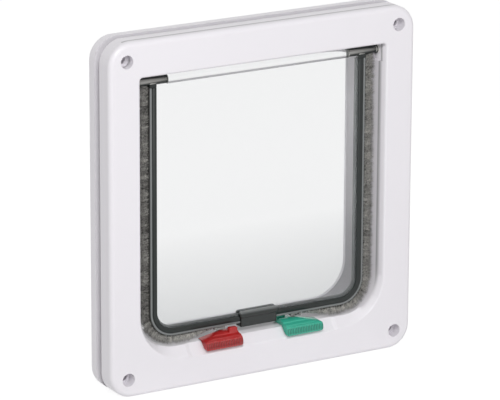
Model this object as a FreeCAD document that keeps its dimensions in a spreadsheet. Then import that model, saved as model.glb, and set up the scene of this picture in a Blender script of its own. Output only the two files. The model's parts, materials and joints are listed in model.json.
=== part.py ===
import FreeCAD, Part
import math
import os
import Sketcher

# A four-way cat flap for a panel door: an interior frame with its tunnel and hinge pockets, an
# exterior frame that telescopes over the tunnel, a clear flap in a dark channel with brush strips,
# and two sliding latches on the sill.
# X runs to the right as seen from the room, Y runs out of the house, Z runs up. The origin is the
# middle of the outline, on the plane where the interior frame meets the door.

doc = FreeCAD.newDocument("CatFlap")
sheet = doc.addObject("Spreadsheet::Sheet", "Sizes")

DRIVING_SIZES = [
    # Outline, shared by both frames
    ("outer_wide", 200.0), ("outer_tall", 208.0), ("outer_corner", 14.0), ("skin", 2.5),
    ("interior_deep", 12.0), ("exterior_deep", 9.0), ("exterior_wall", 3.6), ("door_gap", 6.0),
    ("interior_round", 3.0), ("exterior_round", 4.0), ("rib_thick", 1.6),
    ("interior_rib_tall", 3.0), ("exterior_rib_tall", 2.0),
    # Screw holes
    ("screw_span_wide", 177.8), ("screw_span_tall", 186.0), ("screw_hole", 4.5),
    ("screw_sink", 7.8), ("screw_sink_deep", 6.5), ("boss_wall", 1.6), ("blind_floor", 1.4),
    # Tunnel
    ("tunnel_half", 78.7), ("tunnel_top", 82.3), ("tunnel_drop", 79.5), ("tunnel_corner", 22.0),
    ("top_corner", 1.5), ("tunnel_wall", 1.8), ("tunnel_fit", 0.35), ("tunnel_reach", 28.2),
    ("sleeve_end", 30.5), ("lip_thick", 2.0), ("adjust_travel", 18.0), ("least_overlap", 9.2),
    # Flare of the opening into the room side face
    ("flare_deep", 5.0), ("flare_side", 2.4), ("flare_low", 5.7), ("flare_top", 0.4),
    ("flare_round", 1.4), ("collar_wall", 2.0), ("collar_deep", 6.5),
    # Sill with its latch recesses
    ("sill_block_half", 50.5), ("sill_block_drop", 90.0), ("sill_block_deep", 7.4),
    ("recess_deep", 6.0), ("recess_drop", 86.0), ("recess_play", 0.6),
    # Hinge line
    ("hinge_height", 77.8), ("hinge_deep", 9.2), ("pin_radius", 1.25), ("pin_play", 0.05),
    ("pocket_reach", 80.2), ("pocket_low", 71.5), ("pocket_deep", 12.0), ("pocket_wall", 2.6),
    ("block_half", 84.8), ("bush_radius", 2.4), ("bush_near", 79.5), ("pin_near", 64.0),
    ("pin_grip", 3.4),
    # Flap: panel, channel and hinge sleeves
    ("panel_half", 68.6), ("panel_drop", 71.5), ("panel_thick", 2.4), ("panel_corner", 12.8),
    ("bead_radius", 2.85), ("bead_half", 59.0),
    ("rim_half", 70.8), ("rim_drop", 73.7), ("rim_corner", 15.0), ("rim_face", 4.3),
    ("rim_lip", 1.2), ("rim_line", 0.5), ("rim_line_deep", 0.4), ("rear_cheek_wider", 1.2),
    ("rim_thick", 4.5), ("rim_top", 74.0), ("flap_closed_top", 88.0), ("outer_groove", 1.5),
    ("outer_groove_wide", 2.8),
    ("sleeve_radius", 2.4), ("sleeve_cap_radius", 2.65), ("sleeve_cap_thick", 1.6),
    ("sleeve_tip", 79.4),
    # Brush strips
    ("pile_half", 77.7), ("pile_drop", 78.7), ("pile_thick", 3.0),
    ("brush_top", 74.9), ("pile_trim_drop", 74.9),
    # Magnet catch
    ("housing_half", 12.8), ("housing_drop", 76.2), ("housing_top_drop", 66.7),
    ("housing_thick", 8.0), ("hood_drop", 70.2), ("hood_round", 1.6), ("hood_proud", 0.8),
    ("magnet_half", 8.0), ("magnet_tall", 1.5), ("magnet_thick", 5.0), ("magnet_floor", 0.8),
    ("sill_magnet_half", 9.0), ("sill_magnet_tall", 3.2), ("sill_magnet_thick", 3.6),
    # Latches and the stops that they block
    ("grip_near", 14.9), ("grip_far", 38.9), ("grip_proud", 1.8), ("grip_tall", 5.1),
    ("grip_corner", 1.6), ("latch_travel", 8.0), ("grip_rib", 0.55), ("grip_rib_pitch", 1.1),
    ("grip_rib_proud", 0.25), ("stub_near", 15.8), ("stub_far", 21.2), ("stub_thick", 2.5),
    ("stub_top_drop", 74.1), ("stub_round", 0.9),
    ("stop_near", 22.0), ("stop_far", 29.0), ("stop_drop", 75.4), ("stop_thick", 4.8),
    ("stop_round", 1.0), ("stop_boss", 0.8), ("stop_boss_proud", 0.3), ("stop_gap", 0.7),
    ("latch_lift", 0.3), ("roof_drop", 75.9), ("roof_low_drop", 79.0), ("roof_flat", 24.5),
    ("leg_wide", 3.0), ("leg_thick", 2.2), ("leg_barb", 0.6), ("leg_near", 19.0),
    ("leg_pitch", 7.0), ("leg_play", 0.4),
]


class Size:
    """A length with its number and the sheet expression that it comes from."""

    def __init__(self, number, text):
        self.number = float(number)
        self.text = text

    def _join(self, other, sign, number):
        return Size(number, f"({self.text} {sign} {other.text})")

    def __add__(self, other):
        other = as_size(other)
        return self._join(other, "+", self.number + other.number)

    def __sub__(self, other):
        other = as_size(other)
        return self._join(other, "-", self.number - other.number)

    def __mul__(self, other):
        other = as_size(other)
        return self._join(other, "*", self.number * other.number)

    def __truediv__(self, other):
        other = as_size(other)
        return self._join(other, "/", self.number / other.number)

    def __neg__(self):
        return as_size(0) - self


def as_size(value):
    return value if isinstance(value, Size) else Size(value, f"{float(value):.6g}")


class Sizes:
    """The driving sizes by name, each bound to its cell of the sheet."""


S = Sizes()
for row, (alias, number) in enumerate(DRIVING_SIZES, start=1):
    sheet.set(f"A{row}", alias)
    sheet.set(f"B{row}", str(number))
    sheet.setAlias(f"B{row}", alias)
    setattr(S, alias, Size(number, f"Sizes.{alias}"))
doc.recompute()

FRONT_Y = -S.interior_deep
HINGE_Y = S.hinge_deep - S.interior_deep
PLANE_AXES = {"XZ": "XZ_Plane", "YZ": "YZ_Plane", "XY": "XY_Plane"}


def bind(thing, prop, size):
    """Tie one property of an object to the sheet."""
    thing.setExpression(prop, as_size(size).text)


def new_body(label):
    body = doc.addObject("PartDesign::Body", label)
    body.Label = label
    return body


def new_sketch(body, name, plane, offset):
    """A sketch on one of the body's own planes; the offset is the global X, Y or Z of the plane."""
    sketch = body.newObject("Sketcher::SketchObject", name)
    origin_plane = [f for f in body.Origin.OriginFeatures if f.Role == PLANE_AXES[plane]][0]
    sketch.AttachmentSupport = [(origin_plane, "")]
    sketch.MapMode = "FlatFace"
    along_normal = -as_size(offset) if plane == "XZ" else as_size(offset)
    bind(sketch, "AttachmentOffset.Base.z", along_normal)
    return sketch


def size_constraint(sketch, kind, args, size):
    """Add a length to a sketch and bind it to the sheet; a negative length is measured backwards."""
    size = as_size(size)
    index = sketch.addConstraint(Sketcher.Constraint(kind, *args, size.number))
    sketch.setExpression(f"Constraints[{index}]", size.text)


def place_point(sketch, geometry, point, across, up):
    """Fix a point's two coordinates from the sketch's origin."""
    size_constraint(sketch, "DistanceX", (-1, 1, geometry, point), across)
    size_constraint(sketch, "DistanceY", (-1, 1, geometry, point), up)


def draw_outline(sketch, half, top, drop, low_corner, high_corner):
    """A rounded outline about the middle line, with one radius below and one above."""
    half, top, drop = as_size(half), as_size(top), as_size(drop)
    low_corner, high_corner = as_size(low_corner), as_size(high_corner)
    h, t, d = half.number, top.number, -drop.number
    a, b = low_corner.number, high_corner.number
    turn = math.pi / 2
    corners = [(h - a, d + a, a, -turn), (h - b, t - b, b, 0), (-h + b, t - b, b, turn),
               (-h + a, d + a, a, 2 * turn)]
    ends = [((-h + a, d), (h - a, d)), ((h, d + a), (h, t - b)), ((h - b, t), (-h + b, t)),
            ((-h, t - b), (-h, d + a))]
    lines, arcs = [], []
    for (x, z, radius, start), (begin, end) in zip(corners, ends):
        lines.append(sketch.addGeometry(Part.LineSegment(
            FreeCAD.Vector(*begin, 0), FreeCAD.Vector(*end, 0))))
        circle = Part.Circle(FreeCAD.Vector(x, z, 0), FreeCAD.Vector(0, 0, 1), radius)
        arcs.append(sketch.addGeometry(Part.ArcOfCircle(circle, start, start + turn)))
    for index in range(4):
        after = lines[(index + 1) % 4]
        sketch.addConstraint(Sketcher.Constraint("Tangent", lines[index], 2, arcs[index], 1))
        sketch.addConstraint(Sketcher.Constraint("Tangent", arcs[index], 2, after, 1))
    for index, kind in enumerate(("Horizontal", "Vertical", "Horizontal", "Vertical")):
        sketch.addConstraint(Sketcher.Constraint(kind, lines[index]))
    size_constraint(sketch, "DistanceX", (-1, 1, lines[1], 1), half)
    size_constraint(sketch, "DistanceX", (lines[3], 1, -1, 1), half)
    size_constraint(sketch, "DistanceY", (-1, 1, lines[2], 1), top)
    size_constraint(sketch, "DistanceY", (lines[0], 1, -1, 1), drop)
    size_constraint(sketch, "Radius", (arcs[0],), low_corner)
    size_constraint(sketch, "Radius", (arcs[1],), high_corner)
    sketch.addConstraint(Sketcher.Constraint("Equal", arcs[0], arcs[3]))
    sketch.addConstraint(Sketcher.Constraint("Equal", arcs[1], arcs[2]))


def draw_polygon(sketch, points):
    """A closed run of straight lines, each corner placed by two sheet sizes."""
    points = [(as_size(u), as_size(v)) for u, v in points]
    lines = []
    for index, (u, v) in enumerate(points):
        next_u, next_v = points[(index + 1) % len(points)]
        lines.append(sketch.addGeometry(Part.LineSegment(
            FreeCAD.Vector(u.number, v.number, 0), FreeCAD.Vector(next_u.number, next_v.number, 0))))
    for index, line in enumerate(lines):
        after = lines[(index + 1) % len(lines)]
        sketch.addConstraint(Sketcher.Constraint("Coincident", line, 2, after, 1))
        place_point(sketch, line, 1, *points[index])


def draw_box(sketch, left, right, low, high):
    draw_polygon(sketch, [(left, low), (right, low), (right, high), (left, high)])


def draw_corner(sketch, across, up, radius, inward):
    """The waste outside a rounded lower corner; inward is +1 where the part lies at higher X."""
    across, up, radius = as_size(across), as_size(up), as_size(radius)
    step = radius * inward
    x, z, r = across.number, up.number, radius.number
    turn = math.pi / 2
    start = 2 * turn if inward > 0 else 3 * turn
    circle = Part.Circle(FreeCAD.Vector(x + r * inward, z + r, 0), FreeCAD.Vector(0, 0, 1), r)
    arc = sketch.addGeometry(Part.ArcOfCircle(circle, start, start + turn))
    side_end, foot_end = (1, 2) if inward > 0 else (2, 1)
    corners = [(across, up + radius), (across - 0.5 * inward, up + radius),
               (across - 0.5 * inward, up - 0.5), (across + step, up - 0.5), (across + step, up)]
    lines = []
    for (u, v), (next_u, next_v) in zip(corners, corners[1:]):
        lines.append(sketch.addGeometry(Part.LineSegment(
            FreeCAD.Vector(u.number, v.number, 0), FreeCAD.Vector(next_u.number, next_v.number, 0))))
    for before, after in zip(lines, lines[1:]):
        sketch.addConstraint(Sketcher.Constraint("Coincident", before, 2, after, 1))
    for line, (u, v) in zip(lines, corners):
        place_point(sketch, line, 1, u, v)
    place_point(sketch, lines[-1], 2, *corners[-1])
    sketch.addConstraint(Sketcher.Constraint("Coincident", arc, side_end, lines[0], 1))
    sketch.addConstraint(Sketcher.Constraint("Coincident", arc, foot_end, lines[-1], 2))
    size_constraint(sketch, "Radius", (arc,), radius)


def draw_circle(sketch, across, up, radius):
    across, up, radius = as_size(across), as_size(up), as_size(radius)
    circle = sketch.addGeometry(Part.Circle(
        FreeCAD.Vector(across.number, up.number, 0), FreeCAD.Vector(0, 0, 1), radius.number))
    place_point(sketch, circle, 3, across, up)
    size_constraint(sketch, "Radius", (circle,), radius)


def extrude(body, kind, sketch, name, length, backwards=False, centred=False):
    """Pad or Pocket a sketch. Unreversed, a pad follows the plane's normal and a pocket goes
    against it, and the normal of the XZ plane points into the room."""
    feature = body.newObject(f"PartDesign::{kind}", name)
    feature.Profile = sketch
    bind(feature, "Length", length)
    feature.Reversed = backwards
    if centred:
        feature.SideType = "Symmetric"
    doc.recompute()
    return feature


def pad_out(body, sketch, name, length):
    """Pad a sketch on an XZ plane towards the outside of the house."""
    return extrude(body, "Pad", sketch, name, length, backwards=True)


def pad_in(body, sketch, name, length):
    """Pad a sketch on an XZ plane towards the room."""
    return extrude(body, "Pad", sketch, name, length)


def cut_out(body, sketch, name, length):
    """Cut a sketch on an XZ plane towards the outside of the house."""
    return extrude(body, "Pocket", sketch, name, length)


def cut_in(body, sketch, name, length):
    """Cut a sketch on an XZ plane towards the room."""
    return extrude(body, "Pocket", sketch, name, length, backwards=True)


def edges_where(feature, test):
    """Names of a feature's edges whose bounding box and length pass a test."""
    found = []
    for index, edge in enumerate(feature.Shape.Edges, start=1):
        if test(edge.BoundBox, edge):
            found.append(f"Edge{index}")
    return found


def dress(body, kind, base, names, name, size):
    """Fillet or Chamfer the named edges of the last feature."""
    feature = body.newObject(f"PartDesign::{kind}", name)
    feature.Base = (base, names)
    bind(feature, "Radius" if kind == "Fillet" else "Size", size)
    doc.recompute()
    return feature


def flat_in_y(box, y):
    return abs(box.YMin - y) < 1e-4 and abs(box.YMax - y) < 1e-4


def screw_places():
    wide, tall = S.screw_span_wide / 2, S.screw_span_tall / 2
    return [(-wide, -tall), (wide, -tall), (wide, tall), (-wide, tall)]


def wall_outline(sketch, grow):
    """The tunnel's inner outline, grown all round by the given size."""
    draw_outline(sketch, S.tunnel_half + grow, S.tunnel_top + grow, S.tunnel_drop + grow,
                 S.tunnel_corner + grow, S.top_corner + grow)


def outer_outline(sketch, inset):
    half, tall = S.outer_wide / 2 - inset, S.outer_tall / 2 - inset
    draw_outline(sketch, half, tall, tall, S.outer_corner - inset, S.outer_corner - inset)


def add_ribs(body, name, start_y, length, inner, edge_wall, towards_room):
    """Stiffening ribs between the frame's edge wall and its tunnel."""
    sketch = new_sketch(body, name + "Sketch", "XZ", start_y)
    half, tall = S.outer_wide / 2 - edge_wall, S.outer_tall / 2 - edge_wall
    for share in (-0.36, 0.0, 0.36):
        middle = S.outer_wide * share
        draw_box(sketch, middle - S.rib_thick / 2, middle + S.rib_thick / 2,
                 S.tunnel_top + inner, tall)
        level = S.outer_tall * share * 0.8
        for side in (-1, 1):
            near, far = (S.tunnel_half + inner) * side, half * side
            draw_box(sketch, near, far, level - S.rib_thick / 2, level + S.rib_thick / 2)
    for share in (-0.32, 0.32):
        middle = S.outer_wide * share
        draw_box(sketch, middle - S.rib_thick / 2, middle + S.rib_thick / 2,
                 -tall, -(S.tunnel_drop + inner))
    return (pad_in if towards_room else pad_out)(body, sketch, name, length)


def make_interior_frame():
    body = new_body("interior_frame")
    tray_deep = S.interior_deep - S.skin

    sketch = new_sketch(body, "InteriorOutline", "XZ", 0)
    outer_outline(sketch, 0)
    plate = pad_in(body, sketch, "InteriorPlate", S.interior_deep)
    names = edges_where(plate, lambda box, edge: flat_in_y(box, FRONT_Y.number))
    dress(body, "Fillet", plate, names, "InteriorEdge", S.interior_round)

    sketch = new_sketch(body, "InteriorTraySketch", "XZ", 0)
    outer_outline(sketch, S.skin)
    wall_outline(sketch, S.tunnel_wall)
    cut_in(body, sketch, "InteriorTray", tray_deep)

    sketch = new_sketch(body, "TunnelSketch", "XZ", 0)
    wall_outline(sketch, S.tunnel_wall)
    pad_out(body, sketch, "Tunnel", S.tunnel_reach)

    sketch = new_sketch(body, "CollarSketch", "XZ", FRONT_Y + S.skin)
    draw_outline(sketch, S.tunnel_half + S.flare_side + S.collar_wall,
                 S.tunnel_top + S.flare_top + S.collar_wall,
                 S.tunnel_drop + S.flare_low + S.collar_wall,
                 S.tunnel_corner + S.flare_low, S.top_corner + S.collar_wall)
    pad_out(body, sketch, "Collar", S.collar_deep - S.skin)

    sketch = new_sketch(body, "SillBlockSketch", "XZ", FRONT_Y + S.skin)
    draw_box(sketch, -S.sill_block_half, S.sill_block_half, -S.sill_block_drop, -S.tunnel_drop)
    pad_out(body, sketch, "SillBlock", S.sill_block_deep - S.skin)

    sketch = new_sketch(body, "HingeBlockSketch", "XZ", FRONT_Y + S.skin)
    for side in (-1, 1):
        near, far = S.tunnel_half * side, S.block_half * side
        draw_box(sketch, near, far, S.pocket_low - S.pocket_wall, S.tunnel_top + S.pocket_wall)
    pad_out(body, sketch, "HingeBlocks", tray_deep)

    add_ribs(body, "InteriorRibs", FRONT_Y + S.skin, S.interior_rib_tall, S.tunnel_wall, S.skin,
             False)

    boss = S.screw_sink / 2 + S.boss_wall
    sketch = new_sketch(body, "InteriorBossSketch", "XZ", 0)
    for across, up in screw_places():
        draw_circle(sketch, across, up, boss)
    pad_in(body, sketch, "InteriorBosses", tray_deep)

    sketch = new_sketch(body, "OpeningSketch", "XZ", FRONT_Y)
    wall_outline(sketch, 0)
    cut_out(body, sketch, "Opening", S.interior_deep + S.tunnel_reach)

    make_flare(body)

    sketch = new_sketch(body, "PocketSketch", "XZ", FRONT_Y)
    for side in (-1, 1):
        near, far = (S.tunnel_half - S.flare_side) * side, S.pocket_reach * side
        draw_box(sketch, near, far, S.pocket_low, S.tunnel_top)
    cut_out(body, sketch, "HingePockets", S.pocket_deep)

    pin_reach = S.pocket_reach + S.pin_grip
    sketch = new_sketch(body, "PinHoleSketch", "YZ", -pin_reach)
    draw_circle(sketch, HINGE_Y, S.hinge_height, S.pin_radius)
    extrude(body, "Pocket", sketch, "PinHoles", pin_reach * 2, backwards=True)

    sketch = new_sketch(body, "ScrewHoleSketch", "XZ", FRONT_Y)
    for across, up in screw_places():
        draw_circle(sketch, across, up, S.screw_hole / 2)
    cut_out(body, sketch, "ScrewHoles", S.interior_deep)
    sketch = new_sketch(body, "ScrewSinkSketch", "XZ", FRONT_Y)
    for across, up in screw_places():
        draw_circle(sketch, across, up, S.screw_sink / 2)
    cut_out(body, sketch, "ScrewSinks", S.screw_sink_deep)

    cut_sill(body)
    return body


def make_flare(body):
    """The opening widens into the face: a little at the sides and more along the sill."""
    face = new_sketch(body, "FlareFace", "XZ", FRONT_Y)
    draw_outline(face, S.tunnel_half + S.flare_side, S.tunnel_top + S.flare_top,
                 S.tunnel_drop + S.flare_low, S.tunnel_corner + S.flare_low,
                 S.top_corner + S.flare_top)
    throat = new_sketch(body, "FlareThroat", "XZ", FRONT_Y + S.flare_deep)
    wall_outline(throat, 0)
    flare = body.newObject("PartDesign::SubtractiveLoft", "Flare")
    flare.Profile = face
    flare.Sections = [throat]
    flare.Ruled = True
    doc.recompute()
    wide = S.tunnel_half.number * 2
    rims = edges_where(flare, lambda box, edge: flat_in_y(box, FRONT_Y.number)
                       and box.ZMin > -S.outer_tall.number / 2 + 10 and box.ZMax < S.tunnel_top.number
                       and abs(box.Center.x) < wide / 2 + S.flare_side.number + 1
                       and box.XMax < S.screw_span_wide.number / 2 - S.screw_sink.number / 2)
    return dress(body, "Fillet", flare, rims, "FlareEdge", S.flare_round)


def cut_sill(body):
    """Latch recesses across the sill, slots for the latch legs and the magnet's seat."""
    front, back = FRONT_Y, FRONT_Y + S.recess_deep
    inner = S.grip_near - S.recess_play
    outer = S.grip_far + S.latch_travel + S.recess_play
    sketch = new_sketch(body, "RecessSketch", "YZ", inner)
    points = [(front - 1, -S.recess_drop - 1.25), (back, -S.tunnel_drop),
              (back, -S.tunnel_drop + 1), (front - 1, -S.tunnel_drop + 1)]
    draw_polygon(sketch, points)
    extrude(body, "Pocket", sketch, "RecessRight", outer - inner, backwards=True)
    sketch = new_sketch(body, "RecessSketchLeft", "YZ", -outer)
    draw_polygon(sketch, points)
    extrude(body, "Pocket", sketch, "RecessLeft", outer - inner, backwards=True)

    sketch = new_sketch(body, "LegSlotSketch", "XY", -S.tunnel_drop + 1)
    leg_y = latch_leg_y()
    reach = S.leg_thick / 2 + S.leg_play
    slot_near = S.leg_near - S.leg_play
    slot_far = S.leg_near + S.leg_pitch + S.leg_wide + S.latch_travel + S.leg_play
    for side in (-1, 1):
        draw_box(sketch, slot_near * side, slot_far * side, leg_y - reach, leg_y + reach)
    extrude(body, "Pocket", sketch, "LegSlots", S.tunnel_wall + 2)

    sketch = new_sketch(body, "MagnetSeatSketch", "XZ", FRONT_Y + S.sill_block_deep)
    low, high = sill_magnet_levels()
    draw_box(sketch, -S.sill_magnet_half, S.sill_magnet_half, low, high)
    cut_in(body, sketch, "MagnetSeat", S.sill_magnet_thick)


def latch_leg_y():
    """The latch legs drop through the sill just behind its block."""
    return FRONT_Y + S.sill_block_deep + S.leg_barb + S.leg_thick / 2 + 0.6


def sill_magnet_levels():
    high = -S.tunnel_drop - S.tunnel_wall - 0.8
    return high - S.sill_magnet_tall, high


def make_exterior_frame():
    body = new_body("exterior_frame")
    near, far = S.door_gap, S.door_gap + S.exterior_deep
    inside = S.tunnel_wall + S.tunnel_fit
    outside = inside + S.tunnel_wall
    start = S.tunnel_reach - S.adjust_travel - S.least_overlap

    sketch = new_sketch(body, "ExteriorOutline", "XZ", near)
    outer_outline(sketch, 0)
    plate = pad_out(body, sketch, "ExteriorPlate", S.exterior_deep)
    names = edges_where(plate, lambda box, edge: flat_in_y(box, far.number))
    dress(body, "Fillet", plate, names, "ExteriorEdge", S.exterior_round)

    sketch = new_sketch(body, "ExteriorTraySketch", "XZ", near)
    outer_outline(sketch, S.exterior_wall)
    wall_outline(sketch, outside)
    tray_deep = S.exterior_deep - S.skin
    cut_out(body, sketch, "ExteriorTray", tray_deep)

    sketch = new_sketch(body, "SleeveSketch", "XZ", start)
    wall_outline(sketch, outside)
    sleeve = pad_out(body, sketch, "Sleeve", S.sleeve_end - start)
    names = edges_where(sleeve, lambda box, edge: flat_in_y(box, S.sleeve_end.number))
    dress(body, "Chamfer", sleeve, names, "SleeveEdge", S.tunnel_wall / 2)

    add_ribs(body, "ExteriorRibs", near + tray_deep, S.exterior_rib_tall, outside,
             S.exterior_wall, True)

    boss = S.screw_hole / 2 + S.boss_wall * 1.6
    sketch = new_sketch(body, "ExteriorBossSketch", "XZ", near)
    for across, up in screw_places():
        draw_circle(sketch, across, up, boss)
    pad_out(body, sketch, "ExteriorBosses", S.exterior_deep - S.skin)
    sketch = new_sketch(body, "ExteriorHoleSketch", "XZ", near)
    for across, up in screw_places():
        draw_circle(sketch, across, up, S.screw_hole / 2)
    cut_out(body, sketch, "ExteriorHoles", S.exterior_deep - S.blind_floor)

    sketch = new_sketch(body, "SleeveBoreSketch", "XZ", start)
    wall_outline(sketch, inside)
    cut_out(body, sketch, "SleeveBore", S.sleeve_end - S.lip_thick - start)
    sketch = new_sketch(body, "LipSketch", "XZ", start)
    wall_outline(sketch, 0)
    cut_out(body, sketch, "LipOpening", S.sleeve_end - start)
    return body


def ring_body(label, front_y, thick, outer, inner):
    """A flat ring between two outlines, as tall as the flap; its top is trimmed afterwards."""
    body = new_body(label)
    sketch = new_sketch(body, label + "_ring", "XZ", front_y)
    draw_outline(sketch, *outer)
    draw_outline(sketch, *inner)
    return body, pad_out(body, sketch, label + "_pad", thick)


def flap_outline(inset):
    """The channel's outer outline, drawn in by the given size, closed well above the hinge."""
    return (S.rim_half - inset, S.flap_closed_top - inset, S.rim_drop - inset,
            S.rim_corner - inset, 2.0)


def trim(body, name, front_y, left, right, low, high):
    sketch = new_sketch(body, name + "_sketch", "XZ", as_size(front_y) - 5)
    draw_box(sketch, left, right, low, high)
    return cut_out(body, sketch, name, 20)


def make_flap_rim():
    """Dark channel of an H section: the panel sits in its inner groove, the brushes in the outer."""
    front = HINGE_Y - S.rim_thick / 2
    body, ring = ring_body("flap_rim", front, S.rim_thick, flap_outline(0), flap_outline(S.rim_face))
    sketch = new_sketch(body, "PanelGroove", "XZ", HINGE_Y - S.panel_thick / 2)
    draw_outline(sketch, S.panel_half, S.flap_closed_top - 2, S.panel_drop, S.panel_corner, 1.0)
    cut_out(body, sketch, "PanelGrooveCut", S.panel_thick)
    sketch = new_sketch(body, "BrushGroove", "XZ", HINGE_Y - S.outer_groove_wide / 2)
    draw_outline(sketch, *flap_outline(-1))
    draw_outline(sketch, *flap_outline(S.outer_groove))
    cut_out(body, sketch, "BrushGrooveCut", S.outer_groove_wide)
    rear = HINGE_Y + S.panel_thick / 2
    sketch = new_sketch(body, "RearCheek", "XZ", rear)
    draw_outline(sketch, *flap_outline(S.rim_face - 1))
    draw_outline(sketch, *flap_outline(S.rim_face + S.rear_cheek_wider))
    pad_out(body, sketch, "RearCheekPad", (S.rim_thick - S.panel_thick) / 2)
    sketch = new_sketch(body, "LipLine", "XZ", front)
    draw_outline(sketch, *flap_outline(S.rim_lip))
    draw_outline(sketch, *flap_outline(S.rim_lip + S.rim_line))
    cut_out(body, sketch, "LipLineCut", S.rim_line_deep)
    trim(body, "rim_top_trim", front, -90, 90, S.rim_top, S.flap_closed_top + 5)
    return body


def make_flap_panel():
    """Clear panel with a thick rounded bead along the hinge line."""
    body = new_body("flap_panel")
    sketch = new_sketch(body, "PanelOutline", "XZ", HINGE_Y - S.panel_thick / 2)
    draw_outline(sketch, S.panel_half, S.rim_top, S.panel_drop, S.panel_corner, 1.0)
    pad_out(body, sketch, "Panel", S.panel_thick)
    sketch = new_sketch(body, "PanelHead", "XZ", HINGE_Y - S.panel_thick / 2)
    draw_box(sketch, -S.bead_half, S.bead_half, S.rim_top - 2, S.hinge_height)
    pad_out(body, sketch, "PanelNeck", S.panel_thick)
    sketch = new_sketch(body, "BeadSketch", "YZ", 0)
    draw_circle(sketch, HINGE_Y, S.hinge_height, S.bead_radius)
    extrude(body, "Pad", sketch, "Bead", S.bead_half * 2, centred=True)
    return body


def make_brush(side, word):
    """One brush strip: a woven backing in the channel's groove and the pile that it carries."""
    backing_front = HINGE_Y - S.outer_groove_wide / 2
    pile_front = HINGE_Y - S.pile_thick / 2
    backing, _ = ring_body(f"brush_backing_{word}", backing_front, S.outer_groove_wide,
                           flap_outline(0), flap_outline(S.outer_groove))
    pile_outline = (S.pile_half, S.flap_closed_top + 3, S.pile_drop, S.rim_corner + 6, 2.0)
    pile, _ = ring_body(f"brush_pile_{word}", pile_front, S.pile_thick, pile_outline,
                        flap_outline(0))
    for body, front, top in ((backing, backing_front, S.rim_top),
                             (pile, pile_front, S.brush_top)):
        label = body.Label
        trim(body, label + "_top", front, -90, 90, top, S.flap_closed_top + 5)
        trim(body, label + "_end", front, S.stop_far * side, -90 * side, -90,
             S.flap_closed_top + 5)
    over_latch = S.grip_far + S.latch_travel + S.recess_play * 2
    trim(pile, pile.Label + "_low", pile_front, -over_latch, over_latch, -90, -S.pile_trim_drop)
    return backing, pile


def make_lock_stop(side, word):
    """Clear block on the channel's lower edge that a latch stub stands against."""
    body = new_body(f"lock_stop_{word}")
    middle_y = HINGE_Y
    sketch = new_sketch(body, f"StopStem_{word}", "XZ", middle_y - S.outer_groove_wide / 2)
    draw_box(sketch, S.stop_near * side, S.stop_far * side, -S.rim_drop, -S.rim_drop + S.outer_groove)
    pad_out(body, sketch, f"Stem_{word}", S.outer_groove_wide)
    sketch = new_sketch(body, f"StopBlock_{word}", "XZ", middle_y - S.stop_thick / 2)
    draw_box(sketch, S.stop_near * side, S.stop_far * side, -S.stop_drop, -S.rim_drop)
    block = pad_out(body, sketch, f"Block_{word}", S.stop_thick)
    names = edges_where(block, lambda box, edge: box.ZMax < -S.stop_drop.number + 0.01
                        and box.XLength < 0.01)
    dress(body, "Fillet", block, names, f"StopRound_{word}", S.stop_round)
    thick = S.stop_thick + S.stop_boss_proud * 2
    sketch = new_sketch(body, f"StopBoss_{word}", "XZ", middle_y - thick / 2)
    draw_circle(sketch, (S.stop_far - S.stop_boss) * side, -S.stop_drop + S.stop_boss,
                S.stop_boss)
    pad_out(body, sketch, f"Boss_{word}", thick)
    return body


def make_hinge_sleeve(side, word):
    """Dark sleeve that turns on the pivot pin and clamps the panel's top corner."""
    body = new_body(f"hinge_sleeve_{word}")
    near = S.bead_half
    start = near if side > 0 else -S.sleeve_tip
    sketch = new_sketch(body, f"SleeveTube_{word}", "YZ", start)
    draw_circle(sketch, HINGE_Y, S.hinge_height, S.sleeve_radius)
    extrude(body, "Pad", sketch, f"TubePad_{word}", S.sleeve_tip - near)
    cap_start = S.sleeve_tip - S.sleeve_cap_thick if side > 0 else -S.sleeve_tip
    sketch = new_sketch(body, f"SleeveCap_{word}", "YZ", cap_start)
    draw_circle(sketch, HINGE_Y, S.hinge_height, S.sleeve_cap_radius)
    extrude(body, "Pad", sketch, f"CapPad_{word}", S.sleeve_cap_thick)
    sketch = new_sketch(body, f"ArmSketch_{word}", "XZ", HINGE_Y - S.rim_thick / 2)
    draw_box(sketch, near * side, S.rim_half * side, S.rim_top, S.hinge_height)
    pad_out(body, sketch, f"Arm_{word}", S.rim_thick)
    bore = S.pin_radius + S.pin_play
    bore_start = S.pin_near - 1 if side > 0 else -S.sleeve_tip
    sketch = new_sketch(body, f"BoreSketch_{word}", "YZ", bore_start)
    draw_circle(sketch, HINGE_Y, S.hinge_height, bore)
    extrude(body, "Pocket", sketch, f"Bore_{word}", S.sleeve_tip - S.pin_near + 1, backwards=True)
    return body


def make_pivot(side, word):
    """Steel pin pressed into the hinge pocket, with the plain bush that spaces the sleeve."""
    pin = new_body(f"pivot_pin_{word}")
    reach = S.pocket_reach + S.pin_grip
    sketch = new_sketch(pin, f"PinSketch_{word}", "YZ", S.pin_near if side > 0 else -reach)
    draw_circle(sketch, HINGE_Y, S.hinge_height, S.pin_radius)
    extrude(pin, "Pad", sketch, f"PinPad_{word}", reach - S.pin_near)
    bush = new_body(f"pivot_bush_{word}")
    sketch = new_sketch(bush, f"BushSketch_{word}", "YZ", S.bush_near if side > 0 else -S.pocket_reach)
    draw_circle(sketch, HINGE_Y, S.hinge_height, S.bush_radius)
    draw_circle(sketch, HINGE_Y, S.hinge_height, S.pin_radius)
    extrude(bush, "Pad", sketch, f"BushPad_{word}", S.pocket_reach - S.bush_near)
    return pin, bush


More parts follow.
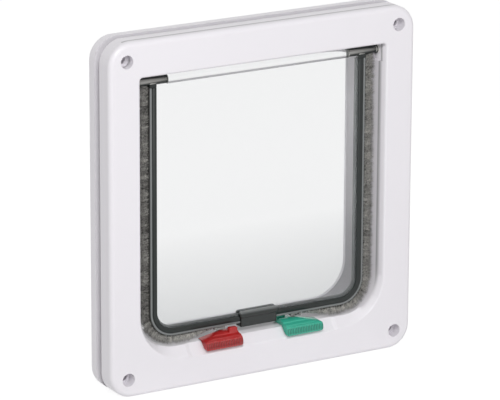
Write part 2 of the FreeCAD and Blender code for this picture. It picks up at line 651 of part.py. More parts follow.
def make_magnet_housing():
    """The catch on the channel's lower edge: a front shell, a rear cover and the magnet between."""
    bodies = []
    for label, turn in (("magnet_housing", -1), ("magnet_cover", 1)):
        body = new_body(label)
        hood = HINGE_Y + S.housing_thick / 2 * turn
        face = hood - S.hood_proud * turn
        lip = HINGE_Y + S.rim_thick / 2 * turn
        skin = HINGE_Y + S.panel_thick / 2 * turn
        cheek_top = -S.rim_drop + S.rim_face
        if turn > 0:
            cheek_top = cheek_top + S.rear_cheek_wider
        sketch = new_sketch(body, label + "_section", "YZ", 0)
        draw_polygon(sketch, [
            (face, -S.housing_drop), (HINGE_Y, -S.housing_drop), (HINGE_Y, -S.rim_drop),
            (lip, -S.rim_drop), (lip, -S.hood_drop), (face, -S.hood_drop)])
        narrow = S.housing_half - S.hood_proud
        shell = extrude(body, "Pad", sketch, label + "_pad", narrow * 2, centred=True)
        face_y = face.number
        names = edges_where(shell, lambda box, edge: flat_in_y(box, face_y)
                            and box.ZMax < -S.hood_drop.number - 0.01 or flat_in_y(box, face_y)
                            and box.XLength < 0.01)
        dress(body, "Fillet", shell, names, label + "_round", S.hood_proud)
        sketch = new_sketch(body, label + "_hood_section", "YZ", 0)
        draw_polygon(sketch, [
            (hood, -S.hood_drop), (lip, -S.hood_drop), (lip, cheek_top), (skin, cheek_top),
            (skin, -S.housing_top_drop), (hood, -S.housing_top_drop)])
        shell = extrude(body, "Pad", sketch, label + "_hood", S.housing_half * 2, centred=True)
        hood_y = hood.number
        top = -S.housing_top_drop.number
        side = S.housing_half.number
        names = edges_where(shell, lambda box, edge: flat_in_y(box, hood_y)
                            and (box.XLength < 0.01 or box.ZMin > top - 0.01)
                            or box.ZMin > top - 0.01 and abs(abs(box.Center.x) - side) < 0.01)
        dress(body, "Fillet", shell, names, label + "_hood_round", S.hood_round)
        sketch = new_sketch(body, label + "_seat", "XZ", HINGE_Y)
        low, high = flap_magnet_levels()
        draw_box(sketch, -S.magnet_half, S.magnet_half, low, high)
        (cut_in if turn < 0 else cut_out)(body, sketch, label + "_seat_cut", S.magnet_thick / 2)
        bodies.append(body)
    return bodies


def flap_magnet_levels():
    low = -S.housing_drop + S.magnet_floor
    return low, low + S.magnet_tall


def bar_magnet(label, half, low, high, front_y, thick):
    """A plain bar magnet."""
    bar = doc.addObject("Part::Box", label)
    bar.Label = label
    bind(bar, "Length", half * 2)
    bind(bar, "Width", thick)
    bind(bar, "Height", high - low)
    bind(bar, "Placement.Base.x", -half)
    bind(bar, "Placement.Base.y", front_y)
    bind(bar, "Placement.Base.z", low)
    return bar


def make_latch(label, side, stub_behind):
    """A sliding latch: a ribbed grip over the sill's edge, a stub beside the flap and two legs."""
    body = new_body(label)
    level = -S.tunnel_drop + S.latch_lift
    proud = FRONT_Y - S.grip_proud
    grip_wide = S.grip_far - S.grip_near
    start = S.grip_near if side > 0 else -S.grip_far

    sketch = new_sketch(body, label + "_grip", "YZ", start)
    deck_back = FRONT_Y + S.rim_thick * 2
    under_back, under_front = FRONT_Y + S.recess_deep - 0.15, FRONT_Y + 0.5
    bottom = level - S.grip_tall
    draw_polygon(sketch, [
        (deck_back, level), (under_back, level), (under_front, bottom), (proud + 1.1, bottom),
        (proud + 0.3, bottom + 0.6), (proud, bottom + 1.9), (proud, bottom + 3.4),
        (proud + 0.5, level - 0.6), (proud + 1.1, level + 0.3), (proud + 2.2, level + 0.8),
        (proud + 2.5, level + 1.2), (proud + 5.4, level + 1.6), (proud + 5.7, level + 2.1),
        (proud + 7.8, level + 2.8), (deck_back, -S.roof_drop)])
    extrude(body, "Pad", sketch, label + "_grip_pad", grip_wide)
    for end, inward in ((S.grip_near, 1), (S.grip_far, -1)):
        sketch = new_sketch(body, f"{label}_corner{inward}", "XZ", proud - 1)
        draw_corner(sketch, end * side, bottom, S.grip_corner, side * inward)
        cut_out(body, sketch, f"{label}_corner_cut{inward}", S.recess_deep)

    count = int((S.grip_far.number - S.grip_near.number - 3.0) / S.grip_rib_pitch.number)
    first = S.grip_near + 1.8 if side > 0 else -S.grip_near - 1.8 - S.grip_rib
    sketch = new_sketch(body, label + "_rib", "YZ", first)
    rib = proud - S.grip_rib_proud
    draw_polygon(sketch, [
        (proud + 2.0, bottom + 1.2), (proud + 0.2, bottom + 1.2), (rib, bottom + 1.9),
        (rib, bottom + 3.5), (rib + 0.5, level - 0.5), (rib + 1.2, level + 0.5),
        (proud + 2.0, level + 0.6)])
    rib_pad = extrude(body, "Pad", sketch, label + "_rib_pad", S.grip_rib)
    row = body.newObject("PartDesign::LinearPattern", label + "_ribs")
    row.Originals = [rib_pad]
    row.Direction = (sketch, ["N_Axis"])
    row.Reversed = side < 0
    bind(row, "Length", S.grip_rib_pitch * (count - 1))
    row.Occurrences = count
    body.Tip = row
    doc.recompute()

    sketch = new_sketch(body, label + "_roof", "XZ", FRONT_Y - 5)
    draw_polygon(sketch, [
        (S.roof_flat * side, -S.roof_drop), (S.grip_far * side, -S.roof_low_drop),
        ((S.grip_far + 2) * side, -S.roof_low_drop + 5), (S.roof_flat * side, -S.roof_drop + 5)])
    cut_out(body, sketch, label + "_roof_cut", 30)

    stub_y = HINGE_Y + S.stop_thick / 2 + S.stop_gap if stub_behind else \
        HINGE_Y - S.stop_thick / 2 - S.stop_gap - S.stub_thick
    if stub_behind:
        sketch = new_sketch(body, label + "_deck", "XY", level)
        draw_box(sketch, S.grip_near * side, S.roof_flat * side, deck_back - 1, stub_y + S.stub_thick)
        extrude(body, "Pad", sketch, label + "_deck_pad", 2.0)
    sketch = new_sketch(body, label + "_stub", "XZ", stub_y)
    draw_box(sketch, S.stub_near * side, S.stub_far * side, level, -S.stub_top_drop)
    stub = pad_out(body, sketch, label + "_stub_pad", S.stub_thick)
    names = edges_where(stub, lambda box, edge: box.ZMin > -S.stub_top_drop.number - 0.01
                        and box.XLength < 0.01)
    dress(body, "Fillet", stub, names, label + "_stub_round", S.stub_round)

    leg_y = latch_leg_y()
    under = S.tunnel_drop + S.tunnel_wall + S.latch_lift
    for number, near in enumerate((S.leg_near, S.leg_near + S.leg_pitch)):
        sketch = new_sketch(body, f"{label}_leg{number}", "YZ", near if side > 0 else -near - S.leg_wide)
        front, back = leg_y - S.leg_thick / 2, leg_y + S.leg_thick / 2
        draw_polygon(sketch, [
            (front, level + 0.5), (front, -under), (front - S.leg_barb, -under),
            (front + 0.3, -under - 1.8), (back - 0.3, -under - 1.8), (back + S.leg_barb, -under),
            (back, -under), (back, level + 0.5)])
        extrude(body, "Pad", sketch, f"{label}_leg{number}_pad", S.leg_wide)
    return body


parts = []
parts.append(make_interior_frame())
parts.append(make_exterior_frame())
parts.append(make_flap_panel())
parts.append(make_flap_rim())
for side, word in ((-1, "left"), (1, "right")):
    parts.extend(make_brush(side, word))
    parts.append(make_lock_stop(side, word))
    parts.append(make_hinge_sleeve(side, word))
    parts.extend(make_pivot(side, word))
parts.extend(make_magnet_housing())
parts.append(bar_magnet("flap_magnet", S.magnet_half, *flap_magnet_levels(),
                        HINGE_Y - S.magnet_thick / 2, S.magnet_thick))
parts.append(bar_magnet("sill_magnet", S.sill_magnet_half, *sill_magnet_levels(),
                        FRONT_Y + S.sill_block_deep - S.sill_magnet_thick, S.sill_magnet_thick))
parts.append(make_latch("red_latch", -1, False))
parts.append(make_latch("green_latch", 1, True))
doc.recompute()

failed = [f"{thing.Name} {thing.State}" for thing in doc.Objects
          if "Invalid" in thing.State or "Error" in thing.State]
if failed:
    raise RuntimeError("failed objects: " + ", ".join(failed))
os.makedirs("parts", exist_ok=True)
for part in parts:
    shape = part.Shape
    if shape.isNull() or not shape.isValid():
        raise RuntimeError(f"{part.Label}: the shape is null or not valid")
    if len(shape.Solids) != 1:
        raise RuntimeError(f"{part.Label}: {len(shape.Solids)} solids")
    print(f"{part.Label}: {shape.Volume / 1000:.2f} cm3, box {shape.BoundBox}")
    shape.exportStep(f"parts/{part.Label}.step")
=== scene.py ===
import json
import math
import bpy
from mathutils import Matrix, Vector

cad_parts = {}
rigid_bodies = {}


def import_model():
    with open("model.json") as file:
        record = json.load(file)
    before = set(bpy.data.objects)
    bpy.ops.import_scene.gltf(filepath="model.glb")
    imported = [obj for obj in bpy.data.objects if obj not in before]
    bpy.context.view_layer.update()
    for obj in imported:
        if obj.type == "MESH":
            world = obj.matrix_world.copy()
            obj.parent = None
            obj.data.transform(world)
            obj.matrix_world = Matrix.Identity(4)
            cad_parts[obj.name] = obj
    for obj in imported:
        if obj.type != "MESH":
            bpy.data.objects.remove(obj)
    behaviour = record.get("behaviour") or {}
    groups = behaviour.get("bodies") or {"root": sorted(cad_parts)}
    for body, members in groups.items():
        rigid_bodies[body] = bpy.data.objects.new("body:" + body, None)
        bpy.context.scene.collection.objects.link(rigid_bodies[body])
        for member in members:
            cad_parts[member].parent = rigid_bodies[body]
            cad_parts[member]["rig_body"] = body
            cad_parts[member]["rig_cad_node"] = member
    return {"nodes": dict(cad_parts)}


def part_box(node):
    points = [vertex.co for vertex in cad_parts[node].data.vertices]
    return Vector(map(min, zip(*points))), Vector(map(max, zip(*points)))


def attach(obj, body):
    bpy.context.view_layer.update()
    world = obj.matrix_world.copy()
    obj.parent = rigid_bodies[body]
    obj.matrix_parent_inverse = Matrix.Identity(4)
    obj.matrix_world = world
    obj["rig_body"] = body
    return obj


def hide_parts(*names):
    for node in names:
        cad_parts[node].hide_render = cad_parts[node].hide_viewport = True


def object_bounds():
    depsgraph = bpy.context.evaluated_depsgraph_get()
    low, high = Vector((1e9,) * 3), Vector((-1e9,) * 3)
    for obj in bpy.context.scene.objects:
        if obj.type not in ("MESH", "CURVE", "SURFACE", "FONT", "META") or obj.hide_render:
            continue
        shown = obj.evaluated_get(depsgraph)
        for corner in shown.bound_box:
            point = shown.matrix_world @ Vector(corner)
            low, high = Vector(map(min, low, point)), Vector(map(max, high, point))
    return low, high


bl_info = {
    "name": "Cat flap",
    "version": (1, 0, 0),
    "blender": (4, 5, 0),
    "location": "3D View > Sidebar > Cat flap",
    "description": "Dresses a four-way cat flap: white frames, clear flap, brush strips and latches",
    "category": "Object",
}

import bpy
import numpy as np
from bpy.props import FloatProperty, FloatVectorProperty, IntProperty, PointerProperty
from mathutils import Matrix, Vector

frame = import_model()
CAD_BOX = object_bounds()
MM = 0.001
SIDES = (("left", -1), ("right", 1))
SMOOTH_ANGLE = math.radians(38)

# Read from the frame. X runs to the right, Y away from the room and Z up.
CHANNEL_LOW, CHANNEL_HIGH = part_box("flap_rim")
PILE_LOW, PILE_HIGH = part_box("brush_pile_left")
LATCH_LOW, LATCH_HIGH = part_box("green_latch")
PIN_LOW, PIN_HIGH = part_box("pivot_pin_right")
SLEEVE_LOW, SLEEVE_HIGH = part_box("hinge_sleeve_right")
PANEL_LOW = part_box("flap_panel")[0]
STOP_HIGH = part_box("lock_stop_right")[1]
CATCH_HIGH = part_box("magnet_housing")[1]
FACE_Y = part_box("interior_frame")[0].y
FLAP_Y = (CHANNEL_LOW.y + CHANNEL_HIGH.y) / 2
HINGE = (PIN_LOW + PIN_HIGH) / 2

# The U outlines of the channel and of the pile round it: half width, drop and corner radius.
CHANNEL_HALF, CHANNEL_DROP, CHANNEL_CORNER = CHANNEL_HIGH.x, -CHANNEL_LOW.z, 15 * MM
PILE_HALF, PILE_DROP, PILE_CORNER = -PILE_LOW.x, -PILE_LOW.z, 21 * MM

# The hinge sleeves, and how the panel's corners and bead run into them.
TUBE_RADIUS, CAP_RADIUS, CAP_THICK, ARM_WIDE = 2.4 * MM, 2.65 * MM, 1.6 * MM, 4.4 * MM
BEAD_INTO_SLEEVE, CORNER_INTO_SLEEVE = 0.8 * MM, 0.3 * MM

# The latches: their sloping roofs, which the pile clears, and the ribs of their grips, between which
# shade is painted.
ROOF_FLAT, ROOF_DROP, ROOF_LOW_DROP = 24.5 * MM, 75.9 * MM, 79.0 * MM
LATCH_TRAVEL = 8 * MM
RIB_START, RIB_PITCH, GRIP_EDGE = 16.975 * MM, 1.1 * MM, 1.2 * MM

# The interior frame: the crease of its flare and its tunnel, both with painted shade, and its latch
# recesses.
CREASE_Y, CREASE_HALF, CREASE_RUN = FACE_Y + 5.0 * MM, 90 * MM, 2.4 * MM
CREASE_FOOT, CREASE_FULL = -72 * MM, -50 * MM
TUNNEL_HALF, TUNNEL_SHADE_TOP, TUNNEL_SHADE_FOOT = 78.7 * MM, 70 * MM, -40 * MM
RECESS_END, RECESS_LOW_Z, RECESS_SLOPE = 47.5 * MM, -86.14 * MM, 1.107
RECESS_STEP = (0.15 * MM, 3 * MM)

# The catch: the lower edge of its hood, under which a shadow is painted, and where the painted sheen
# begins above it.
HOOD_LOW, HOOD_SHEEN_RISE = -70.3 * MM, 1.9 * MM

# The fibres: how far tufts and single fibres vary, as standard deviations.
TUFT_TONE, TUFT_LEAN, TUFT_LENGTH = 0.13, 0.10, 0.035
FIBRE_TONE, FIBRE_LEAN, FIBRE_LENGTH, FIBRE_FLARE, FIBRE_CURL = 0.15, 0.10, 0.05, 0.07, 0.12
ROOT_SPREAD, DEPTH_SPREAD, ROOT_SINK = 0.26 * MM, 0.16 * MM, 0.3 * MM
ROW_DEPTH, ROW_FLARE = 0.95 * MM, 0.10
TOP_LEAN, TOP_RUN = 0.3, 4 * MM
FREE_FLARE, FREE_START, FREE_RUN = 0.17, 30 * MM, 8 * MM
FULL_FLARE_LENGTH = 4 * MM
WAIST_HEIGHT, WAIST_SWELL = 0.55, 1.75


class CatFlapSizes(bpy.types.PropertyGroup):
    """Sizes of the pieces that are modelled here."""

    tuft_pitch: FloatProperty(name="Tuft pitch", description="Distance between tufts along a strip",
                              default=1.5 * MM, unit="LENGTH")
    fibre_radius: FloatProperty(name="Fibre radius", description="Radius of a fibre at its root",
                                default=0.062 * MM, unit="LENGTH")
    fibres_per_tuft: IntProperty(name="Fibres per tuft", description="Fibres in one tuft",
                                 default=46)
    tuft_rows: IntProperty(name="Tuft rows", description="Rows of tufts across a strip", default=3)
    latch_clear: FloatProperty(name="Latch clearance", description="Gap between the pile and the "
                               "latches' roofs", default=0.45 * MM, unit="LENGTH")
    panel_shrink: FloatProperty(name="Panel shrink", description="How far the panel's skin is drawn "
                                "in, so that it stands clear of its groove",
                                default=0.02 * MM, unit="LENGTH")
    recess_ramp: FloatProperty(name="Recess ramp", description="Run of the ramps at the outer ends "
                               "of the latch recesses", default=2.5 * MM, unit="LENGTH")
    edge_round: FloatProperty(name="Edge round", description="Round on the moulded pieces' edges",
                              default=0.2 * MM, unit="LENGTH")


class CatFlapColours(bpy.types.PropertyGroup):
    """Colours of the finishes, scene linear."""

    white: FloatVectorProperty(name="White", description="Frames", subtype="COLOR",
                               default=(0.845, 0.822, 0.86))
    clear: FloatVectorProperty(name="Clear", description="Tint of the flap's panel",
                               subtype="COLOR", default=(0.845, 0.85, 0.853))
    # Painted shade: the panel's tint at its foot.
    clear_foot_shade: FloatVectorProperty(name="Clear, low", description="Tint at the panel's foot",
                                   subtype="COLOR", default=(0.595, 0.605, 0.61))
    stop: FloatVectorProperty(name="Stop", description="Clear stops at the strips' ends",
                              subtype="COLOR", default=(0.42, 0.42, 0.41))
    smoked: FloatVectorProperty(name="Smoked", description="Channel, catch and hinge sleeves",
                                subtype="COLOR", default=(0.015, 0.019, 0.018))
    # Painted light: the channel's lip and far cheek and the catch's hood are painted this paler
    # grey.
    smoked_painted_light: FloatVectorProperty(name="Smoked lip", description="Thin lip of the channel",
                                    subtype="COLOR", default=(0.19, 0.20, 0.20))
    # Painted sheen: the hinge sleeves' tubes are painted this pale where they face the viewer.
    sleeve_sheen: FloatVectorProperty(name="Smoked pale", description="Where light comes through "
                                     "the hinge sleeves", subtype="COLOR",
                                     default=(0.34, 0.335, 0.32))
    fibre: FloatVectorProperty(name="Fibre", description="Brush pile", subtype="COLOR",
                               default=(0.29, 0.283, 0.266))
    red: FloatVectorProperty(name="Red", description="Left latch", subtype="COLOR",
                             default=(0.42, 0.014, 0.014))
    green: FloatVectorProperty(name="Green", description="Right latch", subtype="COLOR",
                               default=(0.035, 0.42, 0.29))
    steel: FloatVectorProperty(name="Steel", description="Hinge pins", subtype="COLOR",
                               default=(0.58, 0.58, 0.6))


class CatFlapStudio(bpy.types.PropertyGroup):
    """Light and camera."""

    key_power: FloatProperty(name="Key power", description="Softbox at the upper left", default=10.4)
    fill_power: FloatProperty(name="Fill power", description="Softbox at the right", default=7.9)
    dome: FloatProperty(name="Dome", description="Strength of the surrounding light", default=0.425)
    focal: FloatProperty(name="Focal length", description="Camera lens in millimetres",
                         default=259.532)
    distance: FloatProperty(name="Distance", description="Camera to the frame's face",
                            default=2.059291, unit="LENGTH")


def select_only(obj):
    """Leave one object selected and active."""
    bpy.ops.object.select_all(action="DESELECT")
    obj.select_set(True)
    bpy.context.view_layer.objects.active = obj


def apply_modifier(obj, name, kind, **settings):
    """Add a modifier with its settings to the active object and apply it."""
    modifier = obj.modifiers.new(name, kind)
    for key, value in settings.items():
        setattr(modifier, key, value)
    bpy.ops.object.modifier_apply(modifier=modifier.name)


def finish_with(obj, material):
    """Give an object its only material."""
    obj.data.materials.clear()
    obj.data.materials.append(material)


def dress(node, material):
    """Give a node that stays its finish."""
    finish_with(frame["nodes"][node], material)


def settle(obj, name, body, slot, material, *nodes):
    """Put a finished piece at the origin and hang it in the frame in place of its nodes."""
    select_only(obj)
    bpy.ops.object.transform_apply(location=True, rotation=True, scale=True)
    obj.name = name
    obj.data.name = name
    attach(obj, body)
    finish_with(obj, material)
    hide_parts(*nodes)


def moulded_copy(node, width, segments=2):
    """A copy of a node with its loose triangles merged and its sharp edges rounded."""
    select_only(frame["nodes"][node])
    bpy.ops.object.duplicate()
    piece = bpy.context.active_object
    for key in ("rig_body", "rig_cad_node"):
        if key in piece:
            del piece[key]
    piece.parent = None
    piece.matrix_world = Matrix.Identity(4)
    bpy.ops.object.mode_set(mode="EDIT")
    bpy.ops.mesh.select_all(action="SELECT")
    bpy.ops.mesh.remove_doubles(threshold=0.002 * MM)
    bpy.ops.mesh.dissolve_limited(angle_limit=math.radians(0.5))
    bpy.ops.object.mode_set(mode="OBJECT")
    bpy.ops.mesh.customdata_custom_splitnormals_clear()
    if width > 0:
        apply_modifier(piece, "Edge round", "BEVEL", width=width, segments=segments,
                       limit_method="ANGLE", angle_limit=SMOOTH_ANGLE, use_clamp_overlap=False)
    bpy.ops.object.shade_smooth_by_angle(angle=SMOOTH_ANGLE)
    return piece


def outline_distance(across, up, half, drop, corner):
    """Distance outside an upright U outline with rounded lower corners; negative inside."""
    qx = np.abs(across) - (half - corner)
    qz = (-up) - (drop - corner)
    outside = np.hypot(np.maximum(qx, 0), np.maximum(qz, 0))
    return outside + np.minimum(np.maximum(qx, qz), 0) - corner


def new_material(name):
    """A plain Principled material: the material, its tree, its shader and Object coordinates."""
    material = bpy.data.materials.new(name)
    material.use_nodes = True
    tree = material.node_tree
    point = add_node(tree, "ShaderNodeTexCoord").outputs["Object"]
    return material, tree, tree.nodes["Principled BSDF"], point


def feed(tree, value, socket):
    """Link a socket to an input, or set the input to a value."""
    if isinstance(value, bpy.types.NodeSocket):
        tree.links.new(value, socket)
    else:
        socket.default_value = value


def feed_all(tree, node, inputs):
    """Feed a node's inputs by name, each from a socket or a value."""
    for name, value in inputs.items():
        feed(tree, value, node.inputs[name])


def add_node(tree, kind, inputs=None, **settings):
    """A node with its properties and, by name, what feeds its inputs."""
    node = tree.nodes.new(kind)
    for key, value in settings.items():
        setattr(node, key, value)
    feed_all(tree, node, inputs or {})
    return node


def math_node(tree, operation, first, second=None, clamp=False):
    """A Math node; each operand is a number or a socket."""
    node = add_node(tree, "ShaderNodeMath", operation=operation, use_clamp=clamp)
    for index, operand in enumerate((first, second)):
        if operand is not None:
            feed(tree, operand, node.inputs[index])
    return node.outputs[0]


def map_range(tree, value, source, target=(0.0, 1.0), kind="SMOOTHSTEP"):
    """A Map Range node that takes a pair of source values to a pair of target values."""
    node = add_node(tree, "ShaderNodeMapRange",
                    {"Value": value, "From Min": source[0], "From Max": source[1],
                     "To Min": target[0], "To Max": target[1]}, interpolation_type=kind)
    return node.outputs["Result"]


def noise(tree, point, **values):
    """The grey of a Noise texture at a point, with what feeds its other inputs."""
    inputs = {name.capitalize(): value for name, value in values.items()}
    return add_node(tree, "ShaderNodeTexNoise", {"Vector": point, **inputs}).outputs["Fac"]


def split_axes(tree, point):
    """The X, Y and Z sockets of a point."""
    node = add_node(tree, "ShaderNodeSeparateXYZ", {"Vector": point})
    return node.outputs["X"], node.outputs["Y"], node.outputs["Z"]


def mix_colours(tree, factor, first, second):
    """A colour mix; the factor is a socket and each colour a socket or a value."""
    node = add_node(tree, "ShaderNodeMix", {"Factor": factor}, data_type="RGBA")
    for socket, colour in ((node.inputs[6], first), (node.inputs[7], second)):
        if not isinstance(colour, bpy.types.NodeSocket):
            colour = (*colour[:3], 1)
        feed(tree, colour, socket)
    return node.outputs[2]


def tint_base(tree, shader, factor, colour):
    """Mix a colour over what already feeds the shader's base colour."""
    base = shader.inputs["Base Color"]
    feed(tree, mix_colours(tree, factor, base.links[0].from_socket, colour), base)


def blend_shaders(tree, factor, first, second, surface):
    """Mix two shaders and feed the result to a surface."""
    blend = add_node(tree, "ShaderNodeMixShader", {"Fac": factor})
    feed(tree, first.outputs[0], blend.inputs[1])
    feed(tree, second.outputs[0], blend.inputs[2])
    feed(tree, blend.outputs[0], surface.inputs["Surface"])


def add_bump(tree, shader, height, strength, distance):
    """Feed the shader's normal from a height."""
    bump = add_node(tree, "ShaderNodeBump",
                    {"Height": height, "Strength": strength, "Distance": distance})
    feed(tree, bump.outputs["Normal"], shader.inputs["Normal"])


def scaled(colour, factor):
    """A colour made lighter or darker."""
    return tuple(min(1.0, channel * factor) for channel in colour)


def new_group(name, inputs, outputs):
    """A shader node group of float sockets that is fed with a point: group, entry and exit."""
    group = bpy.data.node_groups.new(name, "ShaderNodeTree")
    group.interface.new_socket(name="Point", in_out="INPUT", socket_type="NodeSocketVector")
    for socket, default in inputs.items():
        made = group.interface.new_socket(name=socket, in_out="INPUT",
                                          socket_type="NodeSocketFloat")
        made.default_value = default
    for socket in outputs:
        group.interface.new_socket(name=socket, in_out="OUTPUT", socket_type="NodeSocketFloat")
    return group, group.nodes.new("NodeGroupInput"), group.nodes.new("NodeGroupOutput")


def place_group(tree, group, point, **values):
    """The group in a material, fed with the Object coordinates and its own values."""
    inputs = {name.capitalize(): value for name, value in values.items()}
    return add_node(tree, "ShaderNodeGroup", {"Point": point, **inputs}, node_tree=group)


def moulded_skin_group():
    """Fine spark-eroded grain with slow flow marks, as on injection mouldings."""
    group = bpy.data.node_groups.get("Moulded skin")
    if group:
        return group
    group, entry, leave = new_group("Moulded skin", {"Grain": 2500.0, "Gloss": 0.35,
                                                     "Spread": 0.08},
                                    ("Tone", "Roughness", "Height"))
    point = entry.outputs["Point"]
    flow = noise(group, point, scale=28.0, detail=3.0, roughness=0.55, distortion=0.6)
    grain = noise(group, point, scale=entry.outputs["Grain"], detail=2.0, roughness=0.6)
    swing, fine = [math_node(group, "MULTIPLY", math_node(group, "SUBTRACT", grey, 0.5),
                             entry.outputs["Spread"]) for grey in (flow, grain)]
    rough = math_node(group, "ADD", entry.outputs["Gloss"], math_node(group, "ADD", swing, fine))
    feed_all(group, leave, {"Tone": flow, "Roughness": rough, "Height": grain})
    return group


def channel_outline_group():
    """How far a point lies inside the channel's outer outline, in metres."""
    group = bpy.data.node_groups.get("Channel outline")
    if group:
        return group
    group, entry, leave = new_group("Channel outline", {}, ("Inside",))
    x, _, z = split_axes(group, entry.outputs["Point"])
    across = math_node(group, "SUBTRACT", math_node(group, "ABSOLUTE", x),
                       CHANNEL_HALF - CHANNEL_CORNER)
    down = math_node(group, "SUBTRACT", math_node(group, "MULTIPLY", z, -1.0),
                     CHANNEL_DROP - CHANNEL_CORNER)
    squares = [math_node(group, "POWER", math_node(group, "MAXIMUM", leg, 0.0), 2.0)
               for leg in (across, down)]
    outside = math_node(group, "SQRT", math_node(group, "ADD", *squares))
    within = math_node(group, "MINIMUM", math_node(group, "MAXIMUM", across, down), 0.0)
    inside = math_node(group, "SUBTRACT", CHANNEL_CORNER,
                       math_node(group, "ADD", outside, within))
    feed(group, inside, leave.inputs["Inside"])
    return group


def moulded_plastic(name, colour, tones, gloss, spread, grain, bump, ior=1.5):
    """A moulded plastic: its colour drifts between two tones and its skin is finely grained."""
    material, tree, shader, point = new_material(name)
    skin = place_group(tree, moulded_skin_group(), point, grain=grain, gloss=gloss, spread=spread)
    tint = mix_colours(tree, skin.outputs["Tone"], *(scaled(colour, tone) for tone in tones))
    feed_all(tree, shader, {"Base Color": tint, "Roughness": skin.outputs["Roughness"],
                            "IOR": ior})
    add_bump(tree, shader, skin.outputs["Height"], bump, 0.02 * MM)
    return material, tree, shader, point


def white_plastic(name, colours):
    """The frames' white moulded plastic."""
    return moulded_plastic(name, colours.white, (0.985, 1.015), gloss=0.34, spread=0.10,
                           grain=2600.0, bump=0.25)


def interior_plastic(colours):
    """White plastic, with shade painted darker in the crease where the tunnel runs into the flare
    of the face and in the tunnel behind the flap."""
    material, tree, shader, point = white_plastic("Interior plastic", colours)
    x, y, z = split_axes(tree, point)
    aside = math_node(tree, "ABSOLUTE", x)
    # Painted shade: a dark band in the crease where the tunnel meets the flare, fading out towards
    # the foot.
    near = map_range(tree, y, (CREASE_Y - CREASE_RUN, CREASE_Y), (0.0, 0.7))
    behind = map_range(tree, y, (CREASE_Y + 0.1 * MM, CREASE_Y + 0.6 * MM), (1.0, 0.0))
    crease = math_node(tree, "MULTIPLY", near, behind)
    within = math_node(tree, "LESS_THAN", aside, CREASE_HALF)
    level = map_range(tree, z, (CREASE_FOOT, CREASE_FULL))
    crease = math_node(tree, "MULTIPLY", crease, math_node(tree, "MULTIPLY", within, level))
    # Painted shade: the tunnel behind the flap, darker towards its foot.
    depth = map_range(tree, y, (FLAP_Y, FLAP_Y + 4 * MM))
    low = map_range(tree, z, (TUNNEL_SHADE_TOP, TUNNEL_SHADE_FOOT), (0.1, 0.75), kind="LINEAR")
    bore = math_node(tree, "LESS_THAN", aside, TUNNEL_HALF + 0.2 * MM)
    shade = math_node(tree, "MULTIPLY", math_node(tree, "MULTIPLY", depth, low), bore)
    tint_base(tree, shader, math_node(tree, "MAXIMUM", crease, shade),
              scaled(colours.white, 0.3))
    return material


def smoked_plastic(colours):
    """The catch's glossy smoked plastic: a painted shadow under its hood, and the hood painted
    paler, a painted sheen.
    """
    material, tree, shader, point = moulded_plastic(
        "Smoked plastic", colours.smoked, (0.8, 1.25), gloss=0.16, spread=0.08, grain=1800.0,
        bump=0.12, ior=1.55)
    shader.inputs["Specular IOR Level"].default_value = 0.4
    z = split_axes(tree, point)[2]
    # Painted shadow: a dark band under the hood's lower edge.
    aside = math_node(tree, "ABSOLUTE", math_node(tree, "SUBTRACT", z, HOOD_LOW))
    hood_shadow = map_range(tree, aside, (0.2 * MM, 0.8 * MM), (0.75, 0.0))
    tint_base(tree, shader, hood_shadow, (0.0, 0.0, 0.0))
    # Painted sheen: the hood is painted paler towards its top.
    hood = map_range(tree, z, (HOOD_LOW + HOOD_SHEEN_RISE, CATCH_HIGH.z + 0.2 * MM))
    tint_base(tree, shader, hood, colours.smoked_painted_light)
    return material


def channel_plastic(colours):
    """The channel's smoked plastic, painted paler on the thin outer lip, a painted highlight, and on
    the far cheek, painted light.
    """
    material, tree, shader, point = moulded_plastic(
        "Channel plastic", colours.smoked, (0.85, 1.3), gloss=0.2, spread=0.08, grain=1800.0,
        bump=0.15, ior=1.55)
    shader.inputs["Specular IOR Level"].default_value = 0.28
    inside = place_group(tree, channel_outline_group(), point).outputs["Inside"]
    # Painted highlight on the thin outer lip, and painted light on the far cheek.
    lip = map_range(tree, inside, (1.1 * MM, 1.3 * MM), (1.0, 0.0))
    far = map_range(tree, split_axes(tree, point)[1], (FLAP_Y + 0.2 * MM, FLAP_Y + 1.1 * MM),
                    (0.0, 0.9))
    tint_base(tree, shader, math_node(tree, "MAXIMUM", lip, far, clamp=True), colours.smoked_painted_light)
    return material


def clear_plastic(colours):
    """Polished clear sheet that lets the lamps through, with shade painted darker towards its foot.
    """
    material, tree, shader, point = new_material("Clear plastic")
    # Painted shade: the tint is darker towards the panel's foot.
    height = map_range(tree, split_axes(tree, point)[2], (PANEL_LOW.z, PANEL_LOW.z * 0.2),
                       kind="LINEAR")
    smear = noise(tree, point, scale=35.0, detail=4.0)
    feed_all(tree, shader, {
        "Base Color": mix_colours(tree, height, colours.clear_foot_shade, colours.clear),
        "Roughness": map_range(tree, smear, (0.0, 1.0), (0.0, 0.03), kind="LINEAR"),
        "Transmission Weight": 1.0, "IOR": 1.49})
    path = add_node(tree, "ShaderNodeLightPath")
    through = add_node(tree, "ShaderNodeBsdfTransparent", {"Color": (*colours.clear, 1)})
    blend_shaders(tree, path.outputs["Is Shadow Ray"], shader, through,
                  tree.nodes["Material Output"])
    return material


def stop_plastic(colours):
    """Clear moulding whose thickness and flow lines make it grey."""
    material, tree, shader, point = new_material("Stop plastic")
    flow = noise(tree, point, scale=900.0, detail=2.0, distortion=1.5)
    tint = mix_colours(tree, flow, scaled(colours.stop, 0.25), scaled(colours.stop, 1.7))
    feed_all(tree, shader, {"Base Color": tint, "Transmission Weight": 0.6, "Roughness": 0.08,
                            "IOR": 1.49})
    return material


